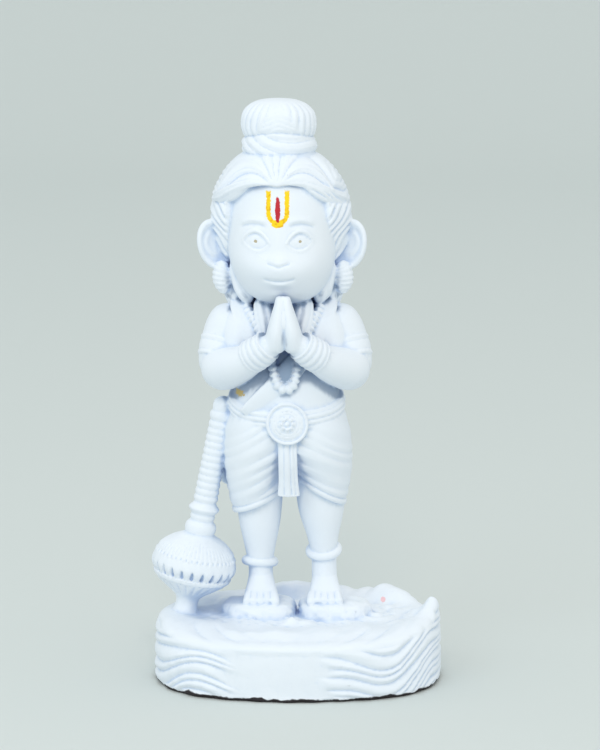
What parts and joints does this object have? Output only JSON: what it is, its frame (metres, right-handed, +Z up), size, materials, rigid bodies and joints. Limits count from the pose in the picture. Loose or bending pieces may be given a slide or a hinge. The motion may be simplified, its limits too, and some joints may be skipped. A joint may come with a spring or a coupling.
{
  "type": "monkey god figurine",
  "caption": "Small cast-resin figure of a monkey-faced child god, palms pressed together, standing on stones on an oval wave-carved base with an upright mace at the side",
  "frame": {"origin": "middle of the flat underside of the oval base", "axes": "+Z up, -Y is the front that the face looks to, +X to the viewer's right when looking at the face"},
  "size_m": [0.0584, 0.0402, 0.1169],
  "materials": {
    "white_resin": "cast polyresin with a thin matt white coat, bluish wash in the carving"
  },
  "bodies": {
    "root": {"hanuman_figure": "white_resin"}
  },
  "joints": []
}
